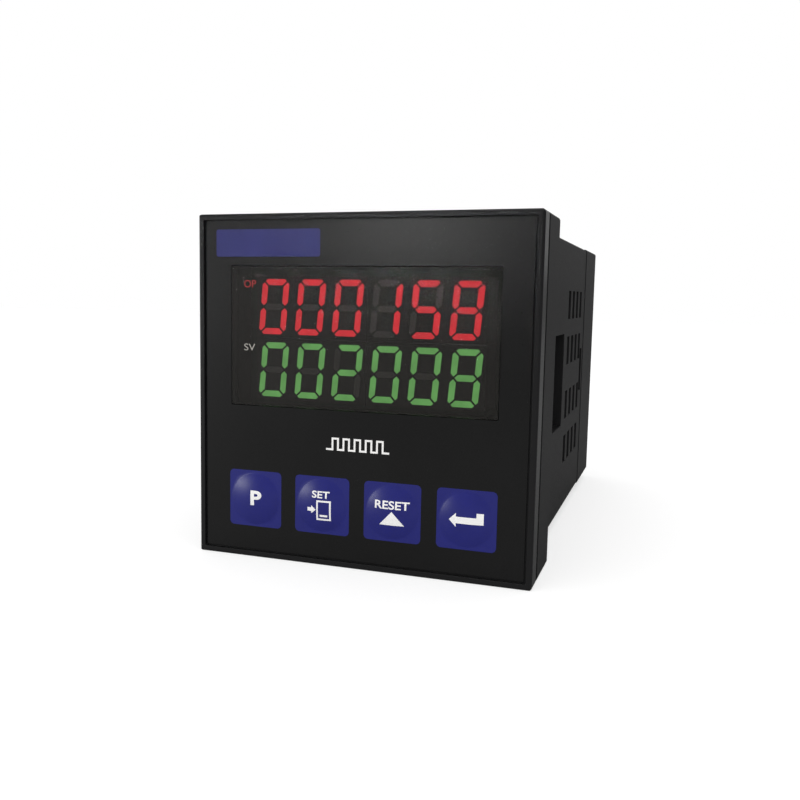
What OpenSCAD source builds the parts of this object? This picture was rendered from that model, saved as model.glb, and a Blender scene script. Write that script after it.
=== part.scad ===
// Panel counter with a 48 mm square front, two rows of six LED digits and four embossed keys.
// X runs to the right as seen from the front, Y runs into the panel and Z is up.
// The origin is the centre of the plane where the gasket meets the panel.

/* [Front] */
// Width and height of the square front
front_size = 48; // [45:0.5:56]
// Corner radius of the front outline
front_corner_r = 0.5; // [0.3:0.1:1.2]
// Radius of the front frame's front edge
front_edge_r = 0.3; // [0.2:0.05:0.6]
// Radius of the front frame's rear edge, where it rolls into the seam
frame_back_r = 0.5; // [0.3:0.05:0.55]
// Depth of the front frame's side
frame_d = 3.6; // [3:0.1:4.5]
// Width of the raised rim around the overlay
rim_w = 0.8; // [0.6:0.1:1.6]
// Depth of the overlay's bed below the rim
bed_d = 0.5; // [0.4:0.05:0.8]
// Thickness of the frame's front wall behind the bed
front_wall = 1.6; // [1.2:0.1:1.8]
// Thickness of the overlay film
overlay_t = 0.25; // [0.15:0.05:0.35]
// Gap between the overlay and the rim
overlay_gap = 0.3; // [0.1:0.05:0.3]
// Corner radius of the bed and of the overlay in it
bed_corner_r = 0.2; // [0.1:0.05:0.5]

/* [Window] */
// Distance from the sides of the front to the window
window_side = 5; // [4.5:0.1:6]
// Distance from the top of the front to the window
window_top = 7; // [6:0.1:8]
// Distance from the bottom of the front to the window
window_bottom = 21.6; // [19:0.1:23]
// Width of the filter's lip behind the front wall
filter_lip = 1; // [0.6:0.1:1.2]
// Thickness of the filter's lip
filter_lip_t = 1; // [0.8:0.1:1.4]

/* [Digits] */
// Number in the upper row
upper_value = "000158"; // ["000158", "004500", "888888"]
// Number in the lower row
lower_value = "002008"; // ["002008", "009000", "888888"]
// Height of a digit
digit_h = 7.7; // [7:0.1:8.2]
// Width of a digit
digit_w = 4.1; // [3.8:0.1:4.4]
// Space between two digits
digit_gap = 1.44; // [1.2:0.02:1.6]
// Slant of the digits in degrees
digit_slant = 5; // [0:0.5:8]
// Width of a segment's stroke
stroke = 0.85; // [0.7:0.05:1.1]
// Gap between two segments
segment_gap = 0.18; // [0.08:0.02:0.24]
// Depth of a segment's light window
segment_d = 1.2; // [0.8:0.1:2]
// Margin of a display module above and below its digits
module_margin = 0.5; // [0.4:0.05:0.8]

/* [Keys] */
// Side of a key's printed square
key_size = 8; // [7:0.1:8.5]
// Space between two keys
key_gap = 2.15; // [1.8:0.05:2.5]
// Distance from the bottom of the front to the keys
key_bottom = 4.4; // [3.8:0.1:5.2]
// Margin between a key's embossed dome and its square
dome_margin = 0.3; // [0.2:0.05:0.6]
// Height of the embossed dome
dome_h = 0.55; // [0.5:0.05:0.9]
// Travel of a key
key_travel = 0.5; // [0.3:0.05:0.6]
// Diameter of a key switch's stem
stem_d = 3.4; // [2.8:0.1:3.6]
// Side of a key switch's body
switch_size = 6; // [5.5:0.1:6.5]
// Height of a key switch's body
switch_h = 3.5; // [3:0.1:4]

/* [Case] */
// Depth of the flange behind the front frame
flange_d = 9.4; // [9:0.1:14]
// Wall of the flange
flange_wall = 1.8; // [1.4:0.1:2]
// Thickness of the step between flange and tube
step_t = 1.8; // [1.4:0.1:2.6]
// Width of the shadow seam between frame and flange
seam_d = 0.5; // [0.3:0.05:0.8]
// Depth of the shadow seam
seam_inset = 0.6; // [0.3:0.05:0.9]
// How far the flange stands out from the square tube
flange_lip = 1.7; // [1.5:0.05:2.1]
// Wall of the tube
case_wall = 1.8; // [1.6:0.1:2]
// Corner radius of the tube
case_corner_r = 0.4; // [0.3:0.1:1.2]
// Length of the tube behind the panel plane
tube_len = 49; // [48.6:0.1:58]
// Thickness of the panel gasket
gasket_t = 1; // [0.6:0.1:2]
// Distance from the edge of the flange to the gasket
gasket_margin = 0.25; // [0.1:0.05:0.4]

/* [Case openings] */
// Distance from the panel plane to the clamp pockets
pocket_y = 11.5; // [8:0.5:12.5]
// Length of a clamp pocket
pocket_len = 10; // [8:0.5:11]
// Height of a clamp pocket
pocket_h = 15; // [12:0.5:18]
// Depth of a clamp pocket
pocket_d = 2.5; // [2:0.1:3]
// Thickness of a clamp pocket's floor and walls
pocket_wall = 1.2; // [1:0.1:1.6]
// Distance from the panel plane to the vents
vent_y = 25.5; // [25:0.5:26.5]
// Length of a vent
vent_len = 18.5; // [14:0.5:18.5]
// Number of slots in a side vent
vent_slots = 4; // [3:1:5]
// Width of the ribs between the slots of a side vent
vent_rib = 2.4; // [1.5:0.1:2.6]
// Height of a side vent
vent_h = 4.7; // [3.6:0.1:5]
// Height of the middle of the inner vents above the axis
vent_inner_z = 4.55; // [4.5:0.05:5]
// Height of the middle of the outer vents above the axis
vent_outer_z = 12.1; // [11:0.1:13]
// Number of slits in the top and in the bottom
slit_count = 5; // [3:1:6]
// Width of a slit
slit_w = 1.6; // [1.2:0.1:2.2]
// Distance between two slits
slit_pitch = 4; // [3:0.1:4.5]
// Length of a latch slot
latch_len = 3; // [2.4:0.1:3.2]
// Height of a latch slot
latch_h = 8; // [6:0.5:9]
// Distance from the end of the tube to a latch slot
latch_back = 1.5; // [1.4:0.1:2]

/* [Rear cover] */
// How far the rear cover stands out from the tube
cover_step = 0.1; // [0.1:0.05:0.4]
// Length of the rear cover
cover_len = 16.6; // [16:0.1:20]
// Wall of the rear cover
cover_wall = 2; // [1.7:0.1:2.2]
// Thickness of the rear wall
rear_wall = 2; // [1.6:0.1:3]
// Length of the tongue that enters the tube
tongue_len = 1.2; // [0.8:0.1:1.2]
// Thickness of a latch arm
arm_t = 1.2; // [1:0.05:1.3]

/* [Terminals] */
// Number of terminals in each row
ways = 6; // [4:1:6]
// Distance between two terminals
way_pitch = 6; // [5.6:0.1:6.5]
// Depth of a terminal strip
strip_d = 16; // [14:0.1:16]
// Depth of a terminal strip's face below the rear wall's
strip_recess = 0.4; // [0.2:0.1:1]
// Wall of a terminal strip
strip_wall = 1; // [0.8:0.1:1.2]
// Width and depth of the grooves between two terminals
groove = 0.6; // [0.4:0.1:0.8]
// Distance from a terminal strip's face to its contacts
contact_back = 4.5; // [4:0.1:5]
// Length of a contact
contact_len = 4.5; // [4:0.1:5]
// Diameter of a terminal screw's head
screw_head_d = 3.8; // [3.4:0.1:4]
// Diameter of a terminal screw's shank
screw_d = 3; // [2.5:0.1:3]
// Width of a wire entry
wire_w = 3.4; // [2.8:0.1:3.6]
// Height of a wire entry
wire_h = 4; // [3:0.1:4.2]

/* [Boards] */
// Thickness of the circuit boards
board_t = 1.6; // [1:0.1:2]
// Gap between a board's edge and the wall
board_gap = 0.3; // [0.2:0.05:0.5]
// Depth of a guide rib
guide_h = 1.2; // [1:0.1:1.6]
// Thickness of a guide rib
guide_t = 1; // [0.8:0.1:1.2]
// Width of the pin headers behind the display board
header_w = 2.5; // [2:0.1:3]

/* [Components] */
// Length of the power transformer
transformer_len = 16; // [14:0.5:18]
// Width of the power transformer's core
transformer_w = 10; // [8:0.5:12]
// Height of the power transformer above its board
transformer_h = 14; // [11:0.5:15]
// Diameter of the input capacitor
input_cap_d = 10; // [8:0.5:10.5]
// Length of the input capacitor
input_cap_len = 13; // [10:0.5:14]
// Diameter of the output capacitor
output_cap_d = 8; // [6:0.5:10]
// Length of the output capacitor
output_cap_len = 11.5; // [8:0.5:14]
// Length of an output relay
relay_len = 20; // [15:0.5:20]
// Width of an output relay
relay_w = 9; // [7:0.5:10]
// Height of an output relay
relay_h = 14.5; // [12:0.5:15]

/* [Hidden] */
$fn = 64;
dome_fn = 720;
eps = 0.5;
fit = 0.15;
slide_fit = 0.1;
screw_fit = 0.05;

// Small sizes that follow from no other
collar_wall = 1.3;
ridge_len = 14;
ridge_r = 0.4;
ridge_back = 2;
lap = 0.8;
module_gap = 0.15;
row_drop = 0.35;
segment_cut = 0.28;
stem_depth = 1.2;
board_back_gap = 3;
header_len = 20;
contact_rim = 0.4;
screw_slot = 0.8;

// Names and the segments that each digit lights
key_names = ["program", "set", "reset", "enter"];
digit_count = 6;
digits_per_module = 3;
lit_in = ["abcdef", "bc", "abdeg", "abcdg", "bcfg", "acdfg", "acdefg", "abc", "abcdefg", "abcdfg"];
segment_names = "abcdefg";
black = "#1f1f20";

// Planes along Y, from the panel forwards
flange_back_y = -gasket_t;
flange_front_y = flange_back_y - flange_d;
front_y = flange_front_y - frame_d;
bed_y = front_y + bed_d;
overlay_y = bed_y - overlay_t;
wall_back_y = bed_y + front_wall;
filter_back_y = wall_back_y + filter_lip_t;
module_y = filter_back_y + slide_fit;
step_y = flange_back_y - step_t;
display_board_y = step_y - board_t;

// Planes along Y, from the panel backwards
tube_end_y = tube_len;
cover_end_y = tube_end_y + cover_len;
rear_in_y = cover_end_y - rear_wall;
strip_end_y = cover_end_y - strip_recess;
strip_y = strip_end_y - strip_d;
latch_y = tube_end_y - latch_back - latch_len;

// Sections
case_size = front_size - 2 * flange_lip;
cover_size = case_size + 2 * cover_step;
bed_size = front_size - 2 * rim_w;
overlay_size = bed_size - 2 * overlay_gap;
vent_slot_w = (vent_len - (vent_slots - 1) * vent_rib) / vent_slots;
flange_in = front_size - 2 * flange_wall;
collar_out = flange_in - 2 * fit;
collar_in = collar_out - 2 * collar_wall;
tube_in = case_size - 2 * case_wall;
rebate = case_wall / 2;
cover_in = cover_size - 2 * cover_wall;
gasket_in = case_size + 2 * fit;
gasket_out = front_size - 2 * gasket_margin;

// Window, digits and keys
window_w = front_size - 2 * window_side;
window_h = front_size - window_top - window_bottom;
window_z = (window_bottom - window_top) / 2;
module_h = digit_h + 2 * module_margin;
row_pitch = module_h + module_gap;
row_z = [window_z - row_drop + row_pitch / 2, window_z - row_drop - row_pitch / 2];
digit_pitch = digit_w + digit_gap;
module_w = digits_per_module * digit_pitch - module_gap;
key_pitch = key_size + key_gap;
key_z = -front_size / 2 + key_bottom + key_size / 2;
dome_r = key_size / 2 - dome_margin;
dome_sphere_r = (dome_r * dome_r + dome_h * dome_h) / (2 * dome_h);
key_hole_r = dome_r + 2 * slide_fit;
stem_tip_y = overlay_y - dome_h + overlay_t + slide_fit + stem_tip_sag();
switch_y = display_board_y - switch_h;

// Boards stand inside the pockets' floors, on the left and on the right
board_out_x = case_size / 2 - pocket_d - pocket_wall - 2 * board_gap;
board_in_x = board_out_x - board_t;
board_y = step_y + board_gap;
board_end_y = rear_in_y - board_back_gap;
board_h = tube_in - 2 * board_gap;
screw_x = board_in_x - strip_wall - screw_head_d / 2 - 2 * fit;
wire_x = screw_x - screw_head_d / 2 - wire_w / 2 - strip_wall;
strip_in_x = wire_x - wire_w / 2 - contact_rim - 2 * fit - strip_wall;
strip_h = ways * way_pitch;
contact_y = strip_end_y - contact_back - contact_len;
contact_h = way_pitch - 2 * fit - strip_wall;

// How far the dome's inside has dropped at the edge of the stem's tip
function stem_tip_sag() = dome_sphere_r - sqrt(dome_sphere_r ^ 2 - (stem_d / 2) ^ 2);

function key_x(i) = (i - (len(key_names) - 1) / 2) * key_pitch;
function digit_x(i) = (i - (digit_count - 1) / 2) * digit_pitch;
function way_z(i) = (i - (ways - 1) / 2) * way_pitch;
function digit_of(value, i) = ord(value[i]) - ord("0");
function is_lit(value, i, s) = len(search(s, lit_in[digit_of(value, i)])) > 0;

// Points of one segment of an upright digit about its middle
function top_points(c) = let (x = digit_w / 2 - segment_gap, z = digit_h / 2)
    [[2 * c - x, z], [x - 2 * c, z], [x - c, z - c], [x - stroke, z - stroke],
     [stroke - x, z - stroke], [c - x, z - c]];
function side_points(c) = let (x = digit_w / 2, z = digit_h / 2 - segment_gap)
    [[c - x, z - c], [stroke - x, z - stroke], [stroke - x, stroke / 2 + segment_gap],
     [stroke / 2 - x, segment_gap], [-x, stroke / 2 + segment_gap], [-x, z - 2 * c]];
function middle_points() = let (x = digit_w / 2 - segment_gap - stroke / 2, h = stroke / 2)
    [[-x, 0], [h - x, h], [x - h, h], [x, 0], [x - h, -h], [h - x, -h]];
function flipped(p, sx, sz) = [for (i = [0 : len(p) - 1])
    let (q = sx * sz > 0 ? p[i] : p[len(p) - 1 - i]) [sx * q[0], sz * q[1]]];
function segment_points(s, c = segment_cut) =
    s == "a" ? top_points(c) : s == "d" ? flipped(top_points(c), 1, -1) :
    s == "f" ? side_points(c) : s == "b" ? flipped(side_points(c), -1, 1) :
    s == "e" ? flipped(side_points(c), 1, -1) : s == "c" ? flipped(side_points(c), -1, -1) :
    middle_points();
function slanted(p) = [for (q = p) [q[0] + q[1] * tan(digit_slant), q[1]]];

// Flat outlines and the ways they are extruded
module rounded_square(w, h, r) {
    square([w - 2 * r, h], center = true);
    square([w, h - 2 * r], center = true);
    for (x = [-1, 1], y = [-1, 1]) translate([x * (w / 2 - r), y * (h / 2 - r)]) circle(r);
}
module along_y(y, d) translate([0, y + d, 0]) rotate([90, 0, 0]) linear_extrude(d) children();
module rod_y(y, d, r) translate([0, y, 0]) rotate([-90, 0, 0]) cylinder(h = d, r = r);
module block(low, high) translate(low) cube(high - low);
module both_sides() {
    children();
    mirror([1, 0, 0]) children();
}

// Slab from y = 0 to y = d whose front edges and rear edges are rounded
module edge_profile(w, d, front_r, back_r) {
    translate([-w / 2, front_r]) square([w, d - front_r - back_r]);
    translate([front_r - w / 2, 0]) square([w - 2 * front_r, d / 2]);
    translate([back_r - w / 2, d / 2]) square([w - 2 * back_r, d / 2]);
    for (x = [-1, 1]) {
        translate([x * (w / 2 - front_r), front_r]) circle(front_r);
        translate([x * (w / 2 - back_r), d - back_r]) circle(back_r);
    }
}
module soft_slab(w, d, corner_r, front_r, back_r) intersection() {
    along_y(0, d) rounded_square(w, w, corner_r);
    translate([0, 0, -w / 2]) linear_extrude(w) edge_profile(w, d, front_r, back_r);
    rotate([0, 90, 0]) translate([0, 0, -w / 2]) linear_extrude(w) edge_profile(w, d, front_r, back_r);
}

module at_keys() for (i = [0 : len(key_names) - 1]) translate([key_x(i), 0, key_z]) children();
module at_ways() for (i = [0 : ways - 1]) translate([0, 0, way_z(i)]) children();

// Front frame: rim, bed, window, key holes and the collar that holds the display board down
module ridge(grow) for (s = [-1, 1])
    translate([0, 0, s * collar_out / 2]) rotate([0, 90, 0])
        translate([0, flange_front_y + ridge_back, -ridge_len / 2 - grow])
            cylinder(h = ridge_len + 2 * grow, r = ridge_r + grow);

module front_frame() color(black) difference() {
    union() {
        translate([0, front_y, 0])
            soft_slab(front_size, frame_d, front_corner_r, front_edge_r, frame_back_r);
        along_y(flange_front_y - lap, display_board_y - flange_front_y + lap)
            rounded_square(collar_out, collar_out, front_corner_r);
        ridge(0);
    }
    along_y(front_y - eps, bed_d + eps) rounded_square(bed_size, bed_size, bed_corner_r);
    translate([0, 0, window_z]) along_y(bed_y - eps, front_wall + 2 * eps)
        square([window_w, window_h], center = true);
    at_keys() rod_y(bed_y - eps, front_wall + 2 * eps, key_hole_r);
    along_y(wall_back_y, display_board_y - wall_back_y + eps)
        rounded_square(collar_in, collar_in, front_corner_r);
}

// Printed film in the bed, open at the window and at the key domes
module front_overlay() color("#161617") along_y(overlay_y, overlay_t) difference() {
    rounded_square(overlay_size, overlay_size, bed_corner_r);
    translate([0, window_z]) square([window_w, window_h], center = true);
    for (i = [0 : len(key_names) - 1]) translate([key_x(i), key_z]) circle(dome_r + slide_fit);
}

// Smoked filter: a pad that fills the window and a lip behind the wall
module display_filter() color("#3a3028", 0.5) translate([0, 0, window_z]) {
    along_y(overlay_y, wall_back_y - overlay_y)
        square([window_w - 2 * slide_fit, window_h - 2 * slide_fit], center = true);
    along_y(wall_back_y, filter_lip_t)
        square([window_w + 2 * filter_lip, window_h + 2 * filter_lip], center = true);
}

// Embossed key dome of the film, with the film's own thickness
module key_dome(i) color("#2a2c78") translate([key_x(i), overlay_y, key_z]) rotate([90, 0, 0])
    rotate_extrude() intersection() {
        union() {
            difference() {
                translate([0, dome_h - dome_sphere_r]) circle(dome_sphere_r, $fn = dome_fn);
                translate([0, dome_h - dome_sphere_r]) circle(dome_sphere_r - overlay_t, $fn = dome_fn);
                translate([-dome_sphere_r, -2 * dome_sphere_r]) square(2 * dome_sphere_r);
            }
            translate([dome_r - 2 * overlay_t, -overlay_t]) square([2 * overlay_t, overlay_t]);
        }
        translate([0, -overlay_t]) square([dome_r, dome_h + overlay_t]);
    }

// Key switch: stem under the dome and the body that guides it
module key_stem(i) color("#111111") translate([key_x(i), 0, key_z])
    rod_y(stem_tip_y, switch_y + stem_depth - stem_tip_y, stem_d / 2);
module key_switch(i) color("#2b2b2b") translate([key_x(i), 0, key_z]) difference() {
    along_y(switch_y, switch_h) square(switch_size, center = true);
    rod_y(switch_y - eps, stem_depth + key_travel + slide_fit + eps, stem_d / 2 + slide_fit);
}

// LED display module: reflector block with a well for each segment
module segment_row(value, lit, first, last, grow = 0) for (i = [first : last], s = segment_names)
    if (lit == undef || is_lit(value, i, s) == lit)
        translate([digit_x(i), 0, 0]) along_y(module_y - grow, segment_d + grow)
            polygon(slanted(segment_points(s)));
module display_module(row, half) color("#2c2b2a") translate([0, 0, row_z[row]]) difference() {
    translate([(half - 0.5) * digits_per_module * digit_pitch, 0, 0])
        along_y(module_y, display_board_y - module_y) square([module_w, module_h], center = true);
    let (first = half * digits_per_module)
        segment_row(upper_value, undef, first, first + digits_per_module - 1, eps);
}
module segments(row, value, lit) translate([0, 0, row_z[row]])
    segment_row(value, lit, 0, digit_count - 1);

// Circuit boards
module display_board() color("#1d4a2c") along_y(display_board_y, board_t)
    square(flange_in - 2 * board_gap, center = true);
module side_board() color("#1d4a2c")
    block([board_in_x, board_y, -board_h / 2], [board_out_x, board_end_y, board_h / 2]);
module side_header() color("#151515") block(
    [board_in_x - header_w, step_y, -header_len / 2],
    [board_in_x, step_y + header_w, header_len / 2]);

// Gasket ring that sits round the tube, behind the flange
module panel_gasket() color("#101010") along_y(-gasket_t, gasket_t) difference() {
    rounded_square(gasket_out, gasket_out, front_corner_r);
    rounded_square(gasket_in, gasket_in, case_corner_r);
}

// Case: flange box and square tube in one moulding, with clamp pockets, vents and board guides
module case_shell() difference() {
    union() {
        along_y(flange_front_y, flange_d)
            rounded_square(front_size - 2 * seam_inset, front_size - 2 * seam_inset, front_corner_r);
        along_y(flange_front_y + seam_d, flange_d - seam_d)
            rounded_square(front_size, front_size, front_corner_r);
        along_y(flange_back_y - lap, tube_end_y - flange_back_y + lap)
            rounded_square(case_size, case_size, case_corner_r);
    }
    along_y(flange_front_y - eps, flange_d - step_t + eps) square(flange_in, center = true);
    along_y(step_y - eps, tube_end_y - step_y + 2 * eps) square(tube_in, center = true);
    along_y(tube_end_y - tongue_len - fit, tongue_len + fit + eps)
        square(tube_in + 2 * rebate, center = true);
    ridge(fit);
}
module pocket_boss() block(
    [case_size / 2 - pocket_d - pocket_wall, pocket_y - pocket_wall, -pocket_h / 2 - pocket_wall],
    [tube_in / 2 + case_wall / 2, pocket_y + pocket_len + pocket_wall, pocket_h / 2 + pocket_wall]);
module board_guides() for (z = [-1, 1], x = [board_in_x - fit - guide_t, board_out_x + fit])
    translate([x, 2 * fit, z * (tube_in / 2 - guide_h / 2 + eps / 2) - guide_h / 2 - eps / 2])
        cube([guide_t, latch_y - 2 * fit - guide_t, guide_h + eps]);
module side_cuts() {
    block([case_size / 2 - pocket_d, pocket_y, -pocket_h / 2],
        [case_size / 2 + eps, pocket_y + pocket_len, pocket_h / 2]);
    for (z = [-vent_outer_z, -vent_inner_z, vent_inner_z, vent_outer_z])
        for (i = [0 : vent_slots - 1])
            translate([tube_in / 2 - eps, vent_y + i * (vent_slot_w + vent_rib), z - vent_h / 2])
                cube([case_wall + 2 * eps, vent_slot_w, vent_h]);
    translate([tube_in / 2 - eps, latch_y, -latch_h / 2])
        cube([case_wall + 2 * eps, latch_len, latch_h]);
}
module slits() for (i = [0 : slit_count - 1])
    translate([(i - (slit_count - 1) / 2) * slit_pitch - slit_w / 2, vent_y, -case_size / 2 - eps])
        cube([slit_w, vent_len, case_size + 2 * eps]);
module case() color(black) difference() {
    union() {
        case_shell();
        both_sides() {
            pocket_boss();
            board_guides();
        }
    }
    both_sides() side_cuts();
    slits();
}

// Rear cover: cap over the terminals, latched into the tube by two arms
module latch_arm() {
    arm_x = tube_in / 2 - fit;
    hook_x = case_size / 2 - 2 * fit;
    hook_end_y = latch_y + latch_len - fit;
    translate([0, 0, fit - latch_h / 2]) linear_extrude(latch_h - 2 * fit) polygon([
        [arm_x - arm_t, latch_y - arm_t], [arm_x, latch_y - arm_t], [arm_x, latch_y + fit],
        [hook_x, latch_y + latch_len / 2], [hook_x, hook_end_y], [arm_x, hook_end_y],
        [arm_x, tube_end_y + fit], [cover_in / 2 + eps, tube_end_y + fit],
        [cover_in / 2 + eps, tube_end_y + 2 * arm_t], [arm_x - arm_t, tube_end_y + 2 * arm_t]]);
}
module rear_cover() color(black) difference() {
    union() {
        along_y(tube_end_y, cover_len) rounded_square(cover_size, cover_size, case_corner_r);
        along_y(tube_end_y - tongue_len, 2 * tongue_len)
            square(tube_in + 2 * rebate - 2 * fit, center = true);
        both_sides() latch_arm();
    }
    difference() {
        along_y(tube_end_y - tongue_len - eps, rear_in_y - tube_end_y + tongue_len + eps)
            square(cover_in, center = true);
        both_sides() latch_arm();
    }
    both_sides() {
        block([tube_in / 2 - fit / 2, tube_end_y - tongue_len - eps, -latch_h / 2 - arm_t],
            [cover_size, tube_end_y, latch_h / 2 + arm_t]);
        block([strip_in_x - fit, rear_in_y - eps, -strip_h / 2 - fit],
            [board_in_x + fit, cover_end_y + eps, strip_h / 2 + fit]);
    }
}

// Terminal strip on the inner face of a side board: its face shows through the rear wall
module terminal_strip() color("#20211f") difference() {
    block([strip_in_x, strip_y, -strip_h / 2], [board_in_x, strip_end_y, strip_h / 2]);
    at_ways() {
        contact_blank(fit);
        translate([screw_x, 0, 0]) rod_y(contact_y, strip_d, screw_head_d / 2 + 2 * fit);
        translate([screw_x, 0, 0]) rod_y(contact_y - screw_d, strip_d, screw_d / 2 + fit);
        translate([wire_x, 0, 0]) along_y(contact_y, strip_d) square([wire_w, wire_h], center = true);
    }
    for (i = [1 : ways - 1]) translate([0, strip_end_y - groove, way_z(i) - way_pitch / 2 - groove / 2])
        cube([board_in_x + eps, groove + eps, groove]);
}
module contact_blank(grow) block(
    [wire_x - wire_w / 2 - contact_rim - grow, contact_y - grow, -contact_h / 2 - grow],
    [screw_x + screw_head_d / 2 + grow, contact_y + contact_len + grow, contact_h / 2 + grow]);
module terminal_contacts() color("#b8923f") at_ways() difference() {
    contact_blank(0);
    translate([screw_x, 0, 0]) rod_y(contact_y - eps, contact_len + 2 * eps, screw_d / 2 + screw_fit);
    translate([wire_x, 0, 0]) rod_y(contact_y - eps, contact_len + 2 * eps, wire_w / 2 - contact_rim);
}
module terminal_screw() difference() {
    union() {
        rod_y(screw_fit, screw_head_d / 2, screw_head_d / 2);
        rod_y(-contact_len - screw_d / 2, contact_len + screw_d / 2 + screw_head_d / 4, screw_d / 2);
    }
    translate([-screw_slot / 2, screw_head_d / 4 + screw_fit, -screw_head_d])
        cube([screw_slot, screw_head_d, 2 * screw_head_d]);
}
module terminal_screws() color("#a9a9a4") at_ways()
    translate([screw_x, contact_y + contact_len, 0]) terminal_screw();

// Parts on the power board, which stands on the right
transformer_at = [14, 10];
input_cap_at = [33, 10];
output_cap_at = [12, -10];
rectifier_at = [30, -2];
rectifier_box = [3, 9, 6.5];
varistor_at = [36, -12];
varistor_d = 9;
varistor_t = 4;
core_t = 2;
coil_out = 2.5;
module on_power_board(at) translate([board_in_x, at[0], at[1]]) rotate([0, -90, 0]) children();
module coil_shape(grow) translate([0, 0, transformer_h / 2]) cube([transformer_w + 2 * coil_out,
    transformer_len - 4 * core_t + 2 * grow, transformer_h - 2 * core_t + 2 * grow], center = true);
module transformer_core() color("#3b3b3d") on_power_board(transformer_at) difference() {
    translate([-transformer_w / 2, -transformer_len / 2, 0])
        cube([transformer_w, transformer_len, transformer_h]);
    coil_shape(slide_fit);
}
module transformer_coil() color("#c9a93a") on_power_board(transformer_at) coil_shape(0);
can_foot = 1.2;
can_groove = 0.8;
module standing_can(d, h) {
    cylinder(d = d, h = can_foot);
    cylinder(d = d - can_groove, h = can_foot + can_groove);
    translate([0, 0, can_foot + can_groove]) cylinder(d = d, h = h - can_foot - can_groove);
}
module input_capacitor() color("#23303f") on_power_board(input_cap_at)
    standing_can(input_cap_d, input_cap_len);
module output_capacitor() color("#23303f") on_power_board(output_cap_at)
    standing_can(output_cap_d, output_cap_len);
module rectifier() color("#161616") on_power_board(rectifier_at)
    translate([-rectifier_box[2] / 2, -rectifier_box[1] / 2, 0])
        cube([rectifier_box[2], rectifier_box[1], rectifier_box[0]]);
module varistor() color("#2f5f9a") on_power_board(varistor_at) {
    translate([-varistor_t / 2, 0, varistor_d / 2]) rotate([0, 90, 0])
        cylinder(d = varistor_d, h = varistor_t);
    translate([-varistor_t / 2, -varistor_d / 4, 0]) cube([varistor_t, varistor_d / 2, varistor_d / 2]);
}

// Parts on the logic board, which stands on the left
relay_chamfer = 1;
relay_at = [[33, 0], [33, -12]];
chip_at = [10, 8];
chip_size = 12;
chip_h = 1.6;
chip_mark_in = 2;
chip_mark_r = 0.7;
chip_mark_d = 0.2;
opto_at = [[26, 14], [36, 14]];
opto_box = [6.5, 4.6, 3.5];
crystal_at = [9, -6];
crystal_len = 11;
crystal_w = 4.6;
crystal_h = 3.6;
crystal_r = 2.2;
module on_logic_board(at) translate([-board_in_x, at[0], at[1]]) rotate([0, 90, 0]) children();
module output_relay(i) color("#26344a") on_logic_board(relay_at[i]) difference() {
    translate([-relay_w / 2, -relay_len / 2, 0]) cube([relay_w, relay_len, relay_h]);
    for (s = [-1, 1]) translate([s * relay_w / 2, 0, 0]) rotate([0, 45, 0])
        cube([relay_chamfer, 2 * relay_len, relay_chamfer], center = true);
}
module controller_chip() color("#181818") on_logic_board(chip_at) difference() {
    translate([-chip_size / 2, -chip_size / 2, 0]) cube([chip_size, chip_size, chip_h]);
    translate([chip_size / 2 - chip_mark_in, chip_size / 2 - chip_mark_in, chip_h - chip_mark_d])
        cylinder(r = chip_mark_r, h = chip_h);
}
module optocouplers() color("#ded9cc") for (at = opto_at) on_logic_board(at)
    translate([-opto_box[1] / 2, -opto_box[0] / 2, 0]) cube([opto_box[1], opto_box[0], opto_box[2]]);
module crystal() color("#b9bcc0") on_logic_board(crystal_at) linear_extrude(crystal_h)
    rounded_square(crystal_len, crystal_w, crystal_r);

// Nodes that repeat a shape at another place
module left() mirror([1, 0, 0]) children();
module program_key() key_dome(0);
module program_stem() key_stem(0);
module program_switch() key_switch(0);
module set_key() key_dome(1);
module set_stem() key_stem(1);
module set_switch() key_switch(1);
module reset_key() key_dome(2);
module reset_stem() key_stem(2);
module reset_switch() key_switch(2);
module enter_key() key_dome(3);
module enter_stem() key_stem(3);
module enter_switch() key_switch(3);
module upper_display_left() display_module(0, 0);
module upper_display_right() display_module(0, 1);
module lower_display_left() display_module(1, 0);
module lower_display_right() display_module(1, 1);
module upper_segments_lit() color("#e8303c") segments(0, upper_value, true);
module upper_segments_dark() color("#3a3937") segments(0, upper_value, false);
module lower_segments_lit() color("#58b048") segments(1, lower_value, true);
module lower_segments_dark() color("#3a3937") segments(1, lower_value, false);
module power_board() side_board();
module logic_board() left() side_board();
module power_header() side_header();
module logic_header() left() side_header();
module terminal_strip_left() left() terminal_strip();
module terminal_strip_right() terminal_strip();
module terminal_contacts_left() left() terminal_contacts();
module terminal_contacts_right() terminal_contacts();
module terminal_screws_left() left() terminal_screws();
module terminal_screws_right() terminal_screws();
module output_relay_upper() output_relay(0);
module output_relay_lower() output_relay(1);

front_frame();
front_overlay();
display_filter();
panel_gasket();
case();
rear_cover();
program_key();
set_key();
reset_key();
enter_key();
program_stem();
set_stem();
reset_stem();
enter_stem();
program_switch();
set_switch();
reset_switch();
enter_switch();
upper_display_left();
upper_display_right();
lower_display_left();
lower_display_right();
upper_segments_lit();
upper_segments_dark();
lower_segments_lit();
lower_segments_dark();
display_board();
power_board();
logic_board();
power_header();
logic_header();
terminal_strip_left();
terminal_strip_right();
terminal_contacts_left();
terminal_contacts_right();
terminal_screws_left();
terminal_screws_right();
transformer_core();
transformer_coil();
input_capacitor();
output_capacitor();
rectifier();
varistor();
output_relay_upper();
output_relay_lower();
controller_chip();
optocouplers();
crystal();
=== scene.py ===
"""Dresses the panel counter: finishes, printed film, key domes, lit digits, studio and camera."""
import logging
import math
from dataclasses import dataclass, field
from enum import Enum
from typing import Any, Callable, Mapping, Sequence

import bmesh
import bpy
from mathutils import Matrix, Vector


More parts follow.
